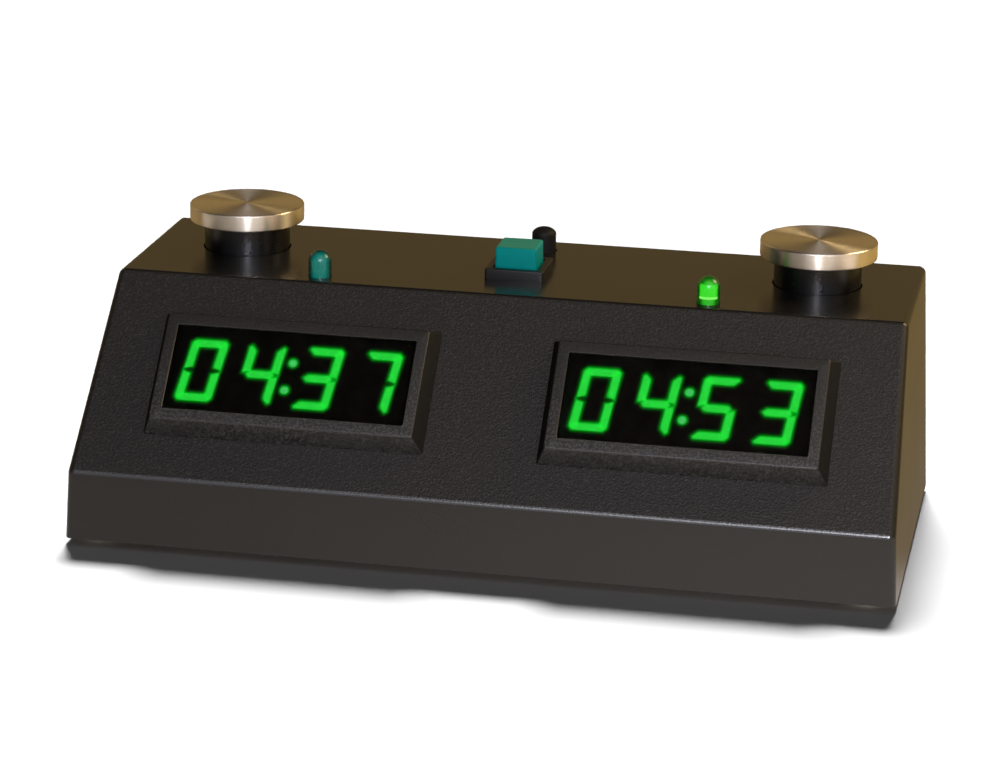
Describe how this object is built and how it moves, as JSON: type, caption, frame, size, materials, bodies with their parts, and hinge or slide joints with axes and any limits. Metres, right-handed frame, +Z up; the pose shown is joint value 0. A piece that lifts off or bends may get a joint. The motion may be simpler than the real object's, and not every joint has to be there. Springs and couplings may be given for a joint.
{
  "type": "chess clock",
  "caption": "Electronic chess clock: wedge-shaped black case, green segment displays in raised bezels, turned metal player buttons on top, small mode buttons, lamps and a battery bay.",
  "frame": {"origin": "middle of the clock, at the bottom of the feet", "axes": "+X along the clock's width, to the right as seen from the displays; +Y from the displays to the rear; +Z up"},
  "size_m": [0.177, 0.0814, 0.0624],
  "materials": {
    "case_plastic": "moulded ABS, grained on the sloping panel, semi-gloss on top",
    "base_plastic": "moulded ABS, fine satin",
    "bezel_plastic": "fine spark-eroded grain",
    "button_plastic": "glossy moulded black",
    "frame_plastic": "satin moulded black",
    "turned_metal": "face-turned with fine concentric tool marks",
    "green_plastic": "semi-gloss teal green",
    "foot_rubber": "matt soft rubber",
    "window": "clear acrylic with a slight smoke tint",
    "display_body": "black display face",
    "lit_segment": "glowing green",
    "dark_segment": "unlit diffusing resin",
    "lamp_off": "tinted teal epoxy, unlit",
    "lamp_on": "green epoxy, lit",
    "board": "green solder mask",
    "component_black": "moulded epoxy and nylon",
    "sleeve_blue": "shrink sleeve",
    "bright_metal": "tinned metal",
    "screw_steel": "zinc plated",
    "spring_steel": "drawn spring wire",
    "cable_grey": "flat grey cable",
    "lead_red": "insulated wire",
    "cell_wrap": "plain wrapped cell"
  },
  "bodies": {
    "case": {"housing": "case_plastic", "base_plate": "base_plastic", "battery_box": "base_plastic", "left_bezel": "bezel_plastic", "right_bezel": "bezel_plastic", "reset_base": "frame_plastic", "left_guide": "frame_plastic", "right_guide": "frame_plastic", "power_guide": "frame_plastic", "lamp_spacers": "frame_plastic", "front_left_foot": "foot_rubber", "front_right_foot": "foot_rubber", "rear_left_foot": "foot_rubber", "rear_right_foot": "foot_rubber", "left_lens": "window", "right_lens": "window", "left_display": "display_body", "right_display": "display_body", "left_lit_segments": "lit_segment", "right_lit_segments": "lit_segment", "left_dark_segments": "dark_segment", "right_dark_segments": "dark_segment", "left_lamp": "lamp_off", "right_lamp": "lamp_on", "display_board": "board", "button_board": "board", "microcontroller": "component_black", "driver_chips": "component_black", "cable_sockets": "component_black", "sounder": "component_black", "left_switch": "component_black", "right_switch": "component_black", "reset_switch": "component_black", "power_switch": "component_black", "capacitors": "sleeve_blue", "crystal": "bright_metal", "lamp_leads": "bright_metal", "battery_contacts": "bright_metal", "base_screws": "screw_steel", "display_board_screws": "screw_steel", "button_board_screws": "screw_steel", "left_spring": "spring_steel", "right_spring": "spring_steel", "reset_spring": "spring_steel", "power_spring": "spring_steel", "ribbon_cable": "cable_grey", "battery_leads": "lead_red", "cells": "cell_wrap"},
    "left_button": {"left_cap": "turned_metal", "left_plunger": "button_plastic", "left_clip": "screw_steel"},
    "right_button": {"right_cap": "turned_metal", "right_plunger": "button_plastic", "right_clip": "screw_steel"},
    "reset_button": {"reset_cap": "green_plastic", "reset_clip": "screw_steel"},
    "power_button": {"power_button": "button_plastic"},
    "battery_door": {"battery_door": "base_plastic"}
  },
  "joints": [
    {"name": "left_button_press", "type": "slide", "parent": "case", "child": "left_button", "axis": [0, 0, -1], "range_m": [0, 0.003], "stiffness_N_per_m": 300, "springref_m": -0.004, "deforming": ["left_spring"]},
    {"name": "right_button_press", "type": "slide", "parent": "case", "child": "right_button", "axis": [0, 0, -1], "range_m": [0, 0.003], "stiffness_N_per_m": 300, "springref_m": -0.004, "deforming": ["right_spring"]},
    {"name": "reset_press", "type": "slide", "parent": "case", "child": "reset_button", "axis": [0, 0, -1], "range_m": [0, 0.0015], "stiffness_N_per_m": 400, "springref_m": -0.002, "deforming": ["reset_spring"]},
    {"name": "power_press", "type": "slide", "parent": "case", "child": "power_button", "axis": [0, 0, -1], "range_m": [0, 0.0015], "stiffness_N_per_m": 400, "springref_m": -0.002, "deforming": ["power_spring"]},
    {"name": "battery_door_hinge", "type": "hinge", "parent": "case", "child": "battery_door", "pos_m": [0, 0.0029, 0.003], "axis": [-1, 0, 0], "range_deg": [0, 75]}
  ]
}
